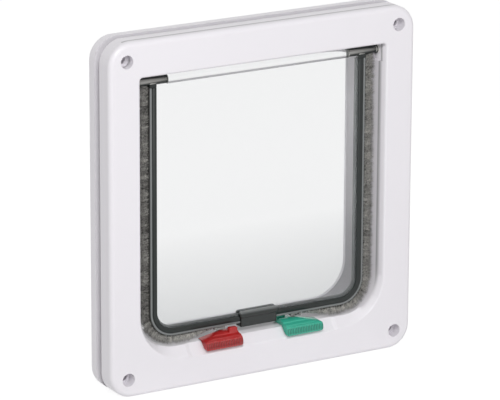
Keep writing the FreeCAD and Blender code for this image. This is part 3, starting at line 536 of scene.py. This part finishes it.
def sleeve_plastic(colours):
    """Smoked plastic: the tube is painted pale where it faces the viewer, a painted sheen, and
    dark at its edges, and the arm is dark."""
    material, tree, shader, point = new_material("Sleeve plastic")
    skin = place_group(tree, moulded_skin_group(), point, grain=1800.0, gloss=0.14, spread=0.06)
    # Painted sheen: pale where the tube faces the viewer.
    facing = add_node(tree, "ShaderNodeLayerWeight", {"Blend": 0.5}).outputs["Facing"]
    edge = map_range(tree, facing, (0.1, 0.3))
    _, y, z = split_axes(tree, point)
    legs = [math_node(tree, "SUBTRACT", y, HINGE.y), math_node(tree, "SUBTRACT", z, HINGE.z)]
    square = math_node(tree, "ADD", *(math_node(tree, "MULTIPLY", leg, leg) for leg in legs))
    arm = math_node(tree, "GREATER_THAN", square, (CAP_RADIUS + 0.05 * MM) ** 2)
    tint = mix_colours(tree, math_node(tree, "MAXIMUM", edge, arm), colours.sleeve_sheen,
                       colours.smoked)
    feed_all(tree, shader, {"Base Color": tint, "Roughness": skin.outputs["Roughness"],
                            "IOR": 1.55, "Specular IOR Level": 0.28})
    return material


def latch_plastic(name, colour):
    """Satin moulding, with shade painted darker between the ribs of its grip."""
    material, tree, shader, point = moulded_plastic(name, colour, (0.92, 1.08), gloss=0.24,
                                                    spread=0.10, grain=2200.0, bump=0.25)
    x, y, z = split_axes(tree, point)
    # Painted shade in the grooves between the grip's ribs.
    along = math_node(tree, "SUBTRACT", math_node(tree, "ABSOLUTE", x), RIB_START)
    wave = math_node(tree, "COSINE", math_node(tree, "MULTIPLY", along, 2 * math.pi / RIB_PITCH))
    groove_shade = math_node(tree, "MULTIPLY", math_node(tree, "SUBTRACT", 1.0, wave), 0.42)
    front = math_node(tree, "LESS_THAN", y, FACE_Y - GRIP_EDGE)
    above = math_node(tree, "GREATER_THAN", z, LATCH_LOW.z + GRIP_EDGE)
    mask = math_node(tree, "MULTIPLY", groove_shade, math_node(tree, "MULTIPLY", front, above))
    tint_base(tree, shader, mask, scaled(colour, 0.2))
    return material


def pin_steel(colours):
    """Drawn wire: fine lines round the pin and a little tarnish."""
    material, tree, shader, point = new_material("Pin steel")
    stretch = add_node(tree, "ShaderNodeMapping",
                       {"Vector": point, "Scale": (9000.0, 300.0, 300.0)})
    lines = noise(tree, stretch.outputs["Vector"], scale=1.0, detail=3.0)
    tint = mix_colours(tree, lines, scaled(colours.steel, 0.85), scaled(colours.steel, 1.1))
    rough = map_range(tree, lines, (0.0, 1.0), (0.18, 0.34), kind="LINEAR")
    feed_all(tree, shader, {"Base Color": tint, "Roughness": rough, "Metallic": 1.0})
    add_bump(tree, shader, lines, 0.2, 0.01 * MM)
    return material


def bush_plastic():
    """Natural nylon."""
    return moulded_plastic("Natural nylon", (0.72, 0.71, 0.68), (0.96, 1.04), gloss=0.42,
                           spread=0.1, grain=1500.0, bump=0.2)[0]


def magnet_ferrite():
    """Sintered ferrite: dark, with fine pores."""
    material, tree, shader, point = new_material("Ferrite")
    pores = add_node(tree, "ShaderNodeTexVoronoi",
                     {"Vector": point, "Scale": 1400.0}).outputs["Distance"]
    tint = mix_colours(tree, pores, (0.03, 0.03, 0.032), (0.07, 0.07, 0.074))
    feed_all(tree, shader, {"Base Color": tint, "Roughness": 0.7})
    add_bump(tree, shader, pores, 0.5, 0.03 * MM)
    return material


def ribbon_cloth(colours):
    """Woven ribbon that carries the pile."""
    material, tree, shader, point = new_material("Woven ribbon")
    warp, weft = [add_node(tree, "ShaderNodeTexWave",
                           {"Vector": point, "Scale": 320.0, "Distortion": 0.4, "Detail": 1.0},
                           bands_direction=direction).outputs["Fac"] for direction in "XZ"]
    weave = math_node(tree, "MULTIPLY", warp, weft)
    tint = mix_colours(tree, weave, scaled(colours.fibre, 0.25), scaled(colours.fibre, 0.8))
    feed_all(tree, shader, {"Base Color": tint, "Roughness": 0.85})
    add_bump(tree, shader, weave, 0.8, 0.1 * MM)
    return material


def fibre_material(colours):
    """Pile fibres: each has its own tone, with shade painted darker at the root, they hang in
    locks, and shade is painted on them in the crease beside the channel's lip."""
    material, tree, shader, point = new_material("Brush fibre")
    tone = add_node(tree, "ShaderNodeAttribute", attribute_name="tone").outputs["Fac"]
    locks = noise(tree, point, scale=950.0, detail=2.0, roughness=0.6, distortion=0.8)
    swing = math_node(tree, "MULTIPLY", math_node(tree, "SUBTRACT", locks, 0.5), 2.1)
    inside = place_group(tree, channel_outline_group(), point).outputs["Inside"]
    # Painted shade in the crease beside the channel's lip.
    crease = map_range(tree, inside, (-1.2 * MM, 0.0), (0.0, 0.7), kind="LINEAR")
    light = math_node(tree, "SUBTRACT", math_node(tree, "ADD", tone, swing), crease)
    ramp = add_node(tree, "ShaderNodeValToRGB",
                    {"Fac": math_node(tree, "ADD", light, 0.08, clamp=True)})
    ramp.color_ramp.elements.new(0.5)
    for element, factor in zip(ramp.color_ramp.elements, (0.16, 1.0, 2.3)):
        element.color = (*scaled(colours.fibre, factor), 1)
    feed_all(tree, shader, {"Base Color": ramp.outputs["Color"], "Roughness": 0.5, "IOR": 1.5})
    return material


def strip_places(side, pitch):
    """Places along the channel's outline where one strip's tufts stand: points and outward
    directions in the XZ plane, from the top of the side to the end beside the clear stop."""
    half, drop, corner = CHANNEL_HALF, CHANNEL_DROP, CHANNEL_CORNER
    top, end = PILE_HIGH.z, STOP_HIGH.x
    straight = top + (drop - corner)
    bend = corner * math.pi / 2
    foot = half - corner - end
    places = []
    for index in range(int((straight + bend + foot) / pitch)):
        along = (index + 0.5) * pitch
        if along < straight:
            places.append((half, top - along, 1.0, 0.0))
        elif along < straight + bend:
            turn = (along - straight) / corner
            out_x, out_z = math.cos(turn), -math.sin(turn)
            places.append((half - corner + corner * out_x, corner - drop + corner * out_z,
                           out_x, out_z))
        else:
            places.append((half - corner - (along - straight - bend), -drop, 0.0, -1.0))
    places = np.array(places)
    places[:, (0, 2)] *= side
    return places[:, :2], places[:, 2:]


def along_strip(outs, side):
    """The direction along the strip, at right angles to the outward one."""
    return np.stack([-outs[:, 1], outs[:, 0]], axis=1) * side


def in_space(flat, depth):
    """Points or directions of the XZ plane as rows of three, at a depth."""
    return np.stack([flat[:, 0], np.broadcast_to(depth, len(flat)), flat[:, 1]], axis=1)


def tuft_roots(side, sizes):
    """Each tuft's root and outward direction in the XZ plane, and its level across the strip from
    -1 to 1. Every second row stands half a pitch on."""
    points, outs = strip_places(side, sizes.tuft_pitch)
    along = along_strip(outs, side)
    shifts = [(row % 2) * 0.5 * sizes.tuft_pitch for row in range(sizes.tuft_rows)]
    roots = np.concatenate([points + along * shift for shift in shifts])
    levels = np.repeat(np.linspace(-1.0, 1.0, sizes.tuft_rows), len(points))
    return roots, np.tile(outs, (sizes.tuft_rows, 1)), levels


def model_fibre(radius):
    """Vertices and faces of one fibre along +Z, a unit long: a three-sided cone, swollen at its
    waist."""
    bpy.ops.object.select_all(action="DESELECT")
    bpy.ops.mesh.primitive_cone_add(vertices=3, radius1=radius, radius2=0.0, depth=1.0,
                                    end_fill_type="NOTHING", location=(0, 0, 0.5))
    fibre = bpy.context.active_object
    bpy.ops.object.transform_apply(location=True)
    bpy.ops.object.mode_set(mode="EDIT")
    bpy.ops.mesh.select_all(action="SELECT")
    bpy.ops.mesh.bisect(plane_co=(0, 0, WAIST_HEIGHT), plane_no=(0, 0, 1))
    bpy.ops.object.mode_set(mode="OBJECT")
    for vertex in fibre.data.vertices:
        if abs(vertex.co.z - WAIST_HEIGHT) < 0.1:
            vertex.co.x *= WAIST_SWELL
            vertex.co.y *= WAIST_SWELL
    points = np.array([vertex.co for vertex in fibre.data.vertices])
    faces = [tuple(face.vertices) for face in fibre.data.polygons]
    bpy.data.objects.remove(fibre)
    return points, faces


def pile_reach(points, directions, clear):
    """How far a fibre can run from its root before it meets the pile's outer outline, or the roof
    of the latch below it, wherever that slides."""
    reach = np.zeros(len(points))
    for _ in range(12):
        here = points + directions * reach[:, None]
        distance = outline_distance(here[:, 0], here[:, 1], PILE_HALF, PILE_DROP, PILE_CORNER)
        reach = reach - distance
    across = np.abs(points[:, 0])
    share = np.clip((across - ROOF_FLAT - LATCH_TRAVEL) / (LATCH_HIGH.x - ROOF_FLAT), 0, 1)
    roof = ROOF_DROP + (ROOF_LOW_DROP - ROOF_DROP) * share - clear
    over_latch = (across < LATCH_HIGH.x + LATCH_TRAVEL) & (points[:, 1] < -CHANNEL_DROP + 2 * MM)
    return np.where(over_latch, np.minimum(reach, roof + points[:, 1]), reach)


def grow_pile(side, sizes, rng):
    """Vertices, faces and tones of one strip's fibres."""
    template, faces = model_fibre(sizes.fibre_radius)
    roots, outs, levels = tuft_roots(side, sizes)
    tuft_tone = rng.normal(0.0, TUFT_TONE, len(roots))
    tuft_lean = rng.normal(0.0, TUFT_LEAN, len(roots))
    tuft_length = rng.normal(1.0, TUFT_LENGTH, len(roots))
    which = np.repeat(np.arange(len(roots)), sizes.fibres_per_tuft)
    number = len(which)
    spread = rng.normal(0.0, 1.0, (number, 4))
    out, level = outs[which], levels[which]
    along = along_strip(out, side)
    root = roots[which] + along * (spread[:, 0] * ROOT_SPREAD)[:, None]
    vary = tuft_length[which] + rng.normal(0.02, FIBRE_LENGTH, number)
    length = pile_reach(root, out, sizes.latch_clear) * np.clip(vary, 0.7, 1.05)

    # Fibres lean over at the strip's top, and splay towards the room on the free run of its foot.
    near_top = np.clip((root[:, 1] - PILE_HIGH.z + TOP_RUN) / TOP_RUN, 0, 1)
    lean = tuft_lean[which] + spread[:, 1] * FIBRE_LEAN + near_top * TOP_LEAN
    low = np.clip((-root[:, 1] - CHANNEL_DROP + CHANNEL_CORNER) / CHANNEL_CORNER, 0, 1)
    free = low * np.clip((np.abs(root[:, 0]) - FREE_START) / FREE_RUN, 0, 1)
    flare = ((level * ROW_FLARE + spread[:, 2] * FIBRE_FLARE)
             * np.clip(length / FULL_FLARE_LENGTH, 0.3, 1.0) - free * (1.0 - level) * FREE_FLARE)
    curl = rng.normal(0.0, FIBRE_CURL, number)

    # Each fibre is the template, turned about its axis, stretched to its length and bent.
    share = template[:, 2]
    turn = rng.uniform(0, 2 * math.pi, number)
    cos_turn, sin_turn = np.cos(turn)[:, None], np.sin(turn)[:, None]
    side_a = template[None, :, 0] * cos_turn - template[None, :, 1] * sin_turn
    side_b = template[None, :, 0] * sin_turn + template[None, :, 1] * cos_turn
    run = length[:, None] * share[None, :]
    bow = length[:, None] * (lean[:, None] * share + curl[:, None] * share * (share - 1.0) * 2)
    start = in_space(root, FLAP_Y + level * ROW_DEPTH + spread[:, 3] * DEPTH_SPREAD)
    points = (start[:, None, :] + in_space(out, 0.0)[:, None, :] * (run - ROOT_SINK)[:, :, None]
              + in_space(along, 0.0)[:, None, :] * (bow + side_a)[:, :, None])
    points[:, :, 1] += flare[:, None] * run + side_b

    # Painted light and shade: the foot is painted lighter, the left side darker, and each fibre
    # lighter towards its tip, with shade painted at its root.
    tone = 0.5 + tuft_tone[which] + rng.normal(0.0, FIBRE_TONE, number)
    tone = tone + 0.2 * low - (0.14 * (1.0 - low) if side < 0 else 0.0)
    tone = tone[:, None] + (share[None, :] - 0.45) * 0.25
    size = len(template)
    all_faces = [tuple(corner + first for corner in face)
                 for first in range(0, number * size, size) for face in faces]
    return points.reshape(-1, 3), all_faces, np.clip(tone, 0, 1).ravel()


def model_sleeve(side, width):
    """A round sleeve with its thicker cap, and the short arm that holds the channel's top."""
    parts = []
    for radius, near in ((TUBE_RADIUS, SLEEVE_LOW.x), (CAP_RADIUS, SLEEVE_HIGH.x - CAP_THICK)):
        bpy.ops.mesh.primitive_cylinder_add(
            vertices=64, radius=radius, depth=SLEEVE_HIGH.x - near, rotation=(0, math.pi / 2, 0),
            location=(side * (near + SLEEVE_HIGH.x) / 2, HINGE.y, HINGE.z))
        parts.append(bpy.context.active_object)
    bpy.ops.mesh.primitive_cube_add(
        size=1.0, scale=(ARM_WIDE, CHANNEL_HIGH.y - CHANNEL_LOW.y, HINGE.z - SLEEVE_LOW.z),
        location=(side * (CHANNEL_HALF - ARM_WIDE / 2), FLAP_Y, (HINGE.z + SLEEVE_LOW.z) / 2))
    parts.append(bpy.context.active_object)
    for part in parts:
        select_only(part)
        bpy.ops.object.transform_apply(location=True, rotation=True, scale=True)
        apply_modifier(part, "Edge round", "BEVEL", width=width, segments=3)
    for part in parts:
        part.select_set(True)
    bpy.ops.object.join()
    bpy.ops.object.shade_smooth_by_angle(angle=SMOOTH_ANGLE)
    return bpy.context.active_object


def soften_recess_ends(piece, run):
    """Turn the low steps at the outer ends of the latch recesses into ramps."""
    for vertex in piece.data.vertices:
        across, deep, up = vertex.co
        height = up - RECESS_LOW_Z - (deep - FACE_Y) * RECESS_SLOPE
        if (abs(abs(across) - RECESS_END) < 0.02 * MM
                and RECESS_STEP[0] < height < RECESS_STEP[1]):
            vertex.co.x += math.copysign(run, across)
    select_only(piece)
    bpy.ops.object.shade_smooth_by_angle(angle=SMOOTH_ANGLE)
    apply_modifier(piece, "Even shading", "WEIGHTED_NORMAL", keep_sharp=True)


def run_into_sleeves(panel):
    """Raise the panel's top corners and lengthen its bead, so that both end in the sleeves."""
    for vertex in panel.data.vertices:
        across, level = abs(vertex.co.x), vertex.co.z
        if across > SLEEVE_LOW.x - 0.5 * MM and abs(level - SLEEVE_LOW.z) < 0.3 * MM:
            vertex.co.z = HINGE.z - TUBE_RADIUS + CORNER_INTO_SLEEVE
        elif abs(across - SLEEVE_LOW.x) < 0.3 * MM and level > SLEEVE_LOW.z:
            vertex.co.x += math.copysign(BEAD_INTO_SLEEVE, vertex.co.x)


class CATFLAP_OT_frames(bpy.types.Operator):
    """Finish the interior and exterior frames in white plastic"""
    bl_idname = "catflap.frames"
    bl_label = "White frames"

    def execute(self, context):
        colours = context.scene.catflap_colours
        room_side = moulded_copy("interior_frame", 0.0)
        soften_recess_ends(room_side, context.scene.catflap_sizes.recess_ramp)
        settle(room_side, "room_frame", frame["nodes"]["interior_frame"]["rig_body"],
               "white_plastic", interior_plastic(colours), "interior_frame")
        dress("exterior_frame", white_plastic("White plastic", colours)[0])
        return {"FINISHED"}


class CATFLAP_OT_clear_parts(bpy.types.Operator):
    """Finish the flap's panel and the two stops in clear plastic"""
    bl_idname = "catflap.clear_parts"
    bl_label = "Clear panel and stops"

    def execute(self, context):
        sizes, colours = context.scene.catflap_sizes, context.scene.catflap_colours
        panel = moulded_copy("flap_panel", 0.0)
        run_into_sleeves(panel)
        bpy.ops.object.mode_set(mode="EDIT")
        bpy.ops.mesh.select_all(action="SELECT")
        bpy.ops.transform.shrink_fatten(value=-sizes.panel_shrink)
        bpy.ops.object.mode_set(mode="OBJECT")
        settle(panel, "panel", "flap", "clear_plastic", clear_plastic(colours), "flap_panel")
        material = stop_plastic(colours)
        for word, _ in SIDES:
            settle(moulded_copy(f"lock_stop_{word}", sizes.edge_round), f"stop_{word}", "flap",
                   "clear_plastic", material, f"lock_stop_{word}")
        return {"FINISHED"}


class CATFLAP_OT_channel(bpy.types.Operator):
    """Round the channel's edges and finish it in smoked plastic"""
    bl_idname = "catflap.channel"
    bl_label = "Channel"

    def execute(self, context):
        piece = moulded_copy("flap_rim", context.scene.catflap_sizes.edge_round)
        settle(piece, "channel", "flap", "smoked_plastic",
               channel_plastic(context.scene.catflap_colours), "flap_rim")
        return {"FINISHED"}


class CATFLAP_OT_catch(bpy.types.Operator):
    """Round the magnet catch's edges and finish it with its magnets"""
    bl_idname = "catflap.catch"
    bl_label = "Magnet catch"

    def execute(self, context):
        sizes = context.scene.catflap_sizes
        smoked = smoked_plastic(context.scene.catflap_colours)
        for node, name in (("magnet_housing", "catch_housing"), ("magnet_cover", "catch_cover")):
            settle(moulded_copy(node, sizes.edge_round * 1.8, 3), name, "flap",
                   "smoked_plastic", smoked, node)
        ferrite = magnet_ferrite()
        for node in ("flap_magnet", "sill_magnet"):
            dress(node, ferrite)
        return {"FINISHED"}


class CATFLAP_OT_hinges(bpy.types.Operator):
    """Finish the hinge sleeves, pins and bushes"""
    bl_idname = "catflap.hinges"
    bl_label = "Hinges"

    def execute(self, context):
        sizes, colours = context.scene.catflap_sizes, context.scene.catflap_colours
        smoked, steel, nylon = sleeve_plastic(colours), pin_steel(colours), bush_plastic()
        for word, side in SIDES:
            settle(model_sleeve(side, sizes.edge_round * 2), f"sleeve_{word}", "flap",
                   "smoked_plastic", smoked, f"hinge_sleeve_{word}")
            dress(f"pivot_pin_{word}", steel)
            dress(f"pivot_bush_{word}", nylon)
        return {"FINISHED"}


class CATFLAP_OT_brushes(bpy.types.Operator):
    """Grow the two brush strips' fibres on their ribbons"""
    bl_idname = "catflap.brushes"
    bl_label = "Brush strips"

    def execute(self, context):
        sizes, colours = context.scene.catflap_sizes, context.scene.catflap_colours
        ribbon, fibre = ribbon_cloth(colours), fibre_material(colours)
        for seed, (word, side) in enumerate(SIDES, start=41):
            dress(f"brush_backing_{word}", ribbon)
            points, faces, tones = grow_pile(side, sizes, np.random.default_rng(seed))
            mesh = bpy.data.meshes.new(f"pile_{word}")
            mesh.from_pydata(points, [], faces)
            tone = mesh.attributes.new("tone", "FLOAT", "POINT")
            tone.data.foreach_set("value", tones.astype(np.float32))
            obj = bpy.data.objects.new(f"pile_{word}", mesh)
            context.scene.collection.objects.link(obj)
            select_only(obj)
            bpy.ops.object.shade_smooth()
            settle(obj, f"brush_fibres_{word}", "flap", "brush_fibre", fibre,
                   f"brush_pile_{word}")
        return {"FINISHED"}


class CATFLAP_OT_latches(bpy.types.Operator):
    """Round the two latches' edges and finish them in red and green"""
    bl_idname = "catflap.latches"
    bl_label = "Latches"

    def execute(self, context):
        sizes, colours = context.scene.catflap_sizes, context.scene.catflap_colours
        for word, colour in (("red", colours.red), ("green", colours.green)):
            piece = moulded_copy(f"{word}_latch", sizes.edge_round * 0.6)
            settle(piece, f"{word}_slide", f"{word}_slider", f"{word}_plastic",
                   latch_plastic(f"{word.capitalize()} plastic", colour), f"{word}_latch")
        return {"FINISHED"}


def shown_ray(tree):
    """1 for rays from the camera, off gloss and through clear parts."""
    path = add_node(tree, "ShaderNodeLightPath")
    either = math_node(tree, "MAXIMUM", path.outputs["Is Camera Ray"],
                       path.outputs["Is Glossy Ray"])
    return math_node(tree, "MAXIMUM", either, path.outputs["Is Transmission Ray"])


class CATFLAP_OT_stage(bpy.types.Operator):
    """Set up the floor, the studio light and the camera"""
    bl_idname = "catflap.stage"
    bl_label = "Floor, light and camera"

    def execute(self, context):
        studio = context.scene.catflap_studio
        self.add_floor()
        self.add_world(context, studio)
        self.add_lamps(studio)
        self.add_camera(context, studio)
        context.scene.view_settings.view_transform = "Standard"
        return {"FINISHED"}

    def add_floor(self):
        """A matt floor that is seen almost white and takes soft shadows."""
        bpy.ops.object.select_all(action="DESELECT")
        bpy.ops.mesh.primitive_plane_add(size=14.0, location=(0, 0, CAD_BOX[0].z))
        floor = bpy.context.active_object
        floor.name = "floor"
        material, tree, shader, _ = new_material("Pale floor")
        feed_all(tree, shader, {"Base Color": (0.86, 0.86, 0.86, 1), "Roughness": 0.9,
                                "Specular IOR Level": 0.0})
        glow = add_node(tree, "ShaderNodeEmission", {"Strength": 0.9})
        soft = add_node(tree, "ShaderNodeBsdfDiffuse", {"Color": (0.24, 0.24, 0.24, 1)})
        seen = add_node(tree, "ShaderNodeAddShader")
        feed(tree, glow.outputs[0], seen.inputs[0])
        feed(tree, soft.outputs[0], seen.inputs[1])
        blend_shaders(tree, shown_ray(tree), shader, seen, tree.nodes["Material Output"])
        floor.data.materials.append(material)

    def add_world(self, context, studio):
        """A dome of even light that is seen white."""
        world = bpy.data.worlds.new("Studio")
        context.scene.world = world
        world.use_nodes = True
        tree = world.node_tree
        tree.nodes.clear()
        seen = add_node(tree, "ShaderNodeBackground", {"Color": (1, 1, 1, 1)})
        dome = add_node(tree, "ShaderNodeBackground",
                        {"Color": (1, 1, 1, 1), "Strength": studio.dome})
        blend_shaders(tree, shown_ray(tree), dome, seen, add_node(tree, "ShaderNodeOutputWorld"))

    def add_lamps(self, studio):
        """Two softboxes turned to the flap's middle."""
        for name, place, size, power in (
                ("key_softbox", (-0.55, -1.05, 0.95), 0.5, studio.key_power),
                ("fill_softbox", (0.1, -1.7, -0.15), 1.3, studio.fill_power)):
            bpy.ops.object.light_add(type="AREA")
            lamp = bpy.context.active_object
            lamp.name = name
            lamp.data.shape = "SQUARE"
            lamp.data.size = size
            lamp.data.energy = power
            lamp.location = place
            lamp.rotation_euler = (-Vector(place)).to_track_quat("-Z", "Y").to_euler()

    def add_camera(self, context, studio):
        """The camera that was fitted to the frame's corners, screw holes and side."""
        azimuth, elevation, roll = (math.radians(v) for v in (30.255, 16.788, 0.270))
        side_shift, up_shift = -8.598 * MM, 0.559 * MM
        back = Vector((-math.sin(azimuth) * math.cos(elevation),
                       -math.cos(azimuth) * math.cos(elevation), math.sin(elevation)))
        level = Vector((math.cos(azimuth), -math.sin(azimuth), 0))
        upright = back.cross(level)
        right = level * math.cos(roll) + upright * math.sin(roll)
        up = upright * math.cos(roll) - level * math.sin(roll)
        place = (Vector((0, FACE_Y, 0)) + back * studio.distance + right * side_shift
                 + up * up_shift)
        bpy.ops.object.camera_add()
        camera = bpy.context.active_object
        turn = Matrix((right, up, back)).transposed().to_4x4()
        camera.matrix_world = Matrix.Translation(place) @ turn
        camera.data.lens = studio.focal
        camera.data.sensor_width = 36.0
        camera.data.clip_start, camera.data.clip_end = 0.05, 60.0
        context.scene.camera = camera


class CATFLAP_PT_panel(bpy.types.Panel):
    """Lists the pieces of the cat flap"""
    bl_idname = "CATFLAP_PT_panel"
    bl_label = "Cat flap"
    bl_space_type = "VIEW_3D"
    bl_region_type = "UI"
    bl_category = "Cat flap"

    def draw(self, context):
        for operator in OPERATORS:
            self.layout.operator(operator.bl_idname)
        for group, _ in PROPERTY_GROUPS:
            box = self.layout.box()
            values = getattr(context.scene, group)
            for name in values.__annotations__:
                box.prop(values, name)


OPERATORS = (CATFLAP_OT_frames, CATFLAP_OT_clear_parts, CATFLAP_OT_channel, CATFLAP_OT_catch,
             CATFLAP_OT_hinges, CATFLAP_OT_brushes, CATFLAP_OT_latches, CATFLAP_OT_stage)
PROPERTY_GROUPS = (("catflap_sizes", CatFlapSizes), ("catflap_colours", CatFlapColours),
                   ("catflap_studio", CatFlapStudio))


def register():
    for name, group in PROPERTY_GROUPS:
        bpy.utils.register_class(group)
        setattr(bpy.types.Scene, name, PointerProperty(type=group))
    for entry in (*OPERATORS, CATFLAP_PT_panel):
        bpy.utils.register_class(entry)


def unregister():
    for entry in (CATFLAP_PT_panel, *reversed(OPERATORS)):
        bpy.utils.unregister_class(entry)
    for name, group in PROPERTY_GROUPS:
        delattr(bpy.types.Scene, name)
        bpy.utils.unregister_class(group)


def main():
    register()
    bpy.ops.catflap.frames()
    bpy.ops.catflap.clear_parts()
    bpy.ops.catflap.channel()
    bpy.ops.catflap.catch()
    bpy.ops.catflap.hinges()
    bpy.ops.catflap.brushes()
    bpy.ops.catflap.latches()
    bpy.ops.catflap.stage()


if __name__ == "__main__":
    main()
